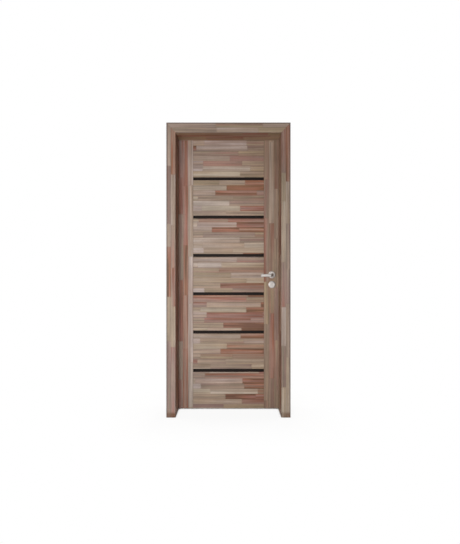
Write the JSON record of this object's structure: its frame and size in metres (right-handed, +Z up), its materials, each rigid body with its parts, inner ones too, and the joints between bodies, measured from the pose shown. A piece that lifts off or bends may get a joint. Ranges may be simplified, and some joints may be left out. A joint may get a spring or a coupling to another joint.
{
  "type": "exterior door",
  "caption": "Timber door set: a deep frame with planted stops, cased on both faces, and an inward-opening leaf of flush staved panels parted by dark strips, with levers and a cylinder lock.",
  "frame": {"origin": "on the wall face of the hinge jamb, at floor level, at the middle of the jamb's depth", "axes": "+X from the hinge jamb to the lock jamb, +Y from outdoors to indoors, +Z up"},
  "size_m": [0.929, 0.2611, 2.1305],
  "materials": {
    "frame_wood": "clear-coated laminated staves of mixed beige, taupe and reddish brown",
    "leaf_wood": "clear-coated laminated staves of mixed beige, taupe and reddish brown",
    "dark_wood": "near-black satin stain",
    "satin_metal": "satin brushed"
  },
  "bodies": {
    "frame": {"jamb_hinge_side": "frame_wood", "jamb_lock_side": "frame_wood", "head_jamb": "frame_wood", "stop_hinge_side": "frame_wood", "stop_lock_side": "frame_wood", "stop_head": "frame_wood", "front_casing_left": "frame_wood", "front_casing_right": "frame_wood", "front_casing_head": "frame_wood", "rear_casing_left": "frame_wood", "rear_casing_right": "frame_wood", "rear_casing_head": "frame_wood", "strike_plate": "satin_metal", "bottom_hinge_frame_plate": "satin_metal", "middle_hinge_frame_plate": "satin_metal", "top_hinge_frame_plate": "satin_metal"},
    "leaf": {"stile_hinge_side": "leaf_wood", "stile_lock_side": "leaf_wood", "panel_1": "leaf_wood", "panel_2": "leaf_wood", "panel_3": "leaf_wood", "panel_4": "leaf_wood", "panel_5": "leaf_wood", "panel_6": "leaf_wood", "panel_7": "leaf_wood", "dark_strip_1": "dark_wood", "dark_strip_2": "dark_wood", "dark_strip_3": "dark_wood", "dark_strip_4": "dark_wood", "dark_strip_5": "dark_wood", "dark_strip_6": "dark_wood", "bottom_hinge_leaf_plate": "satin_metal", "middle_hinge_leaf_plate": "satin_metal", "top_hinge_leaf_plate": "satin_metal", "mortise_lock": "satin_metal", "lock_cylinder": "satin_metal", "rose_front": "satin_metal", "rose_rear": "satin_metal", "escutcheon_front": "satin_metal", "escutcheon_rear": "satin_metal"},
    "lever": {"lever_front": "satin_metal", "lever_rear": "satin_metal", "spindle": "satin_metal"}
  },
  "joints": [
    {"name": "leaf_swing", "type": "hinge", "parent": "frame", "child": "leaf", "pos_m": [0.03575, 0.1015, 1.025], "axis": [0, 0, 1], "range_deg": [0, 110]},
    {"name": "lever_turn", "type": "hinge", "parent": "leaf", "child": "lever", "pos_m": [0.7535, 0.075, 1.02], "axis": [0, -1, 0], "range_deg": [0, 40], "stiffness_Nm_per_rad": 1.5, "springref_deg": -22.92}
  ]
}
